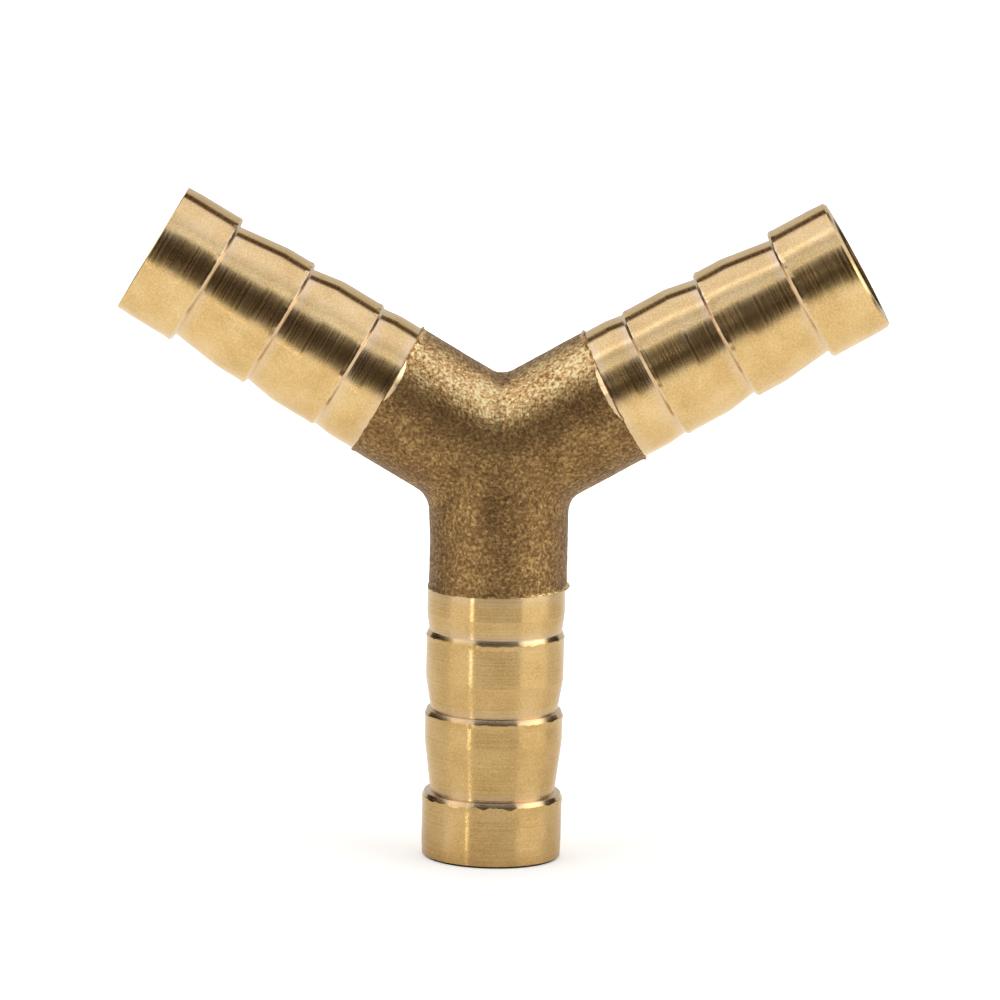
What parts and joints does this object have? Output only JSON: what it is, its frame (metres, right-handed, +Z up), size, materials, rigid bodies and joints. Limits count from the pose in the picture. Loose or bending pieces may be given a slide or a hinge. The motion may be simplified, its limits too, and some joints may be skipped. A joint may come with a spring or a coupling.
{
  "type": "tubing y connector",
  "caption": "Brass Y fitting that joins hoses: a forged round hub with equal barbed branches at 120 degrees, bored through.",
  "frame": {"origin": "middle of the foot, the end face of the lower branch", "axes": "+Z up along the lower branch, the three branches lie in the XZ plane, +X from the left upper branch to the right one"},
  "size_m": [0.0682, 0.0126, 0.0591],
  "materials": {
    "brass": "turned bright barbed ends, shot-blasted as-forged hub"
  },
  "bodies": {
    "root": {"y_connector_body": "brass"}
  },
  "joints": []
}
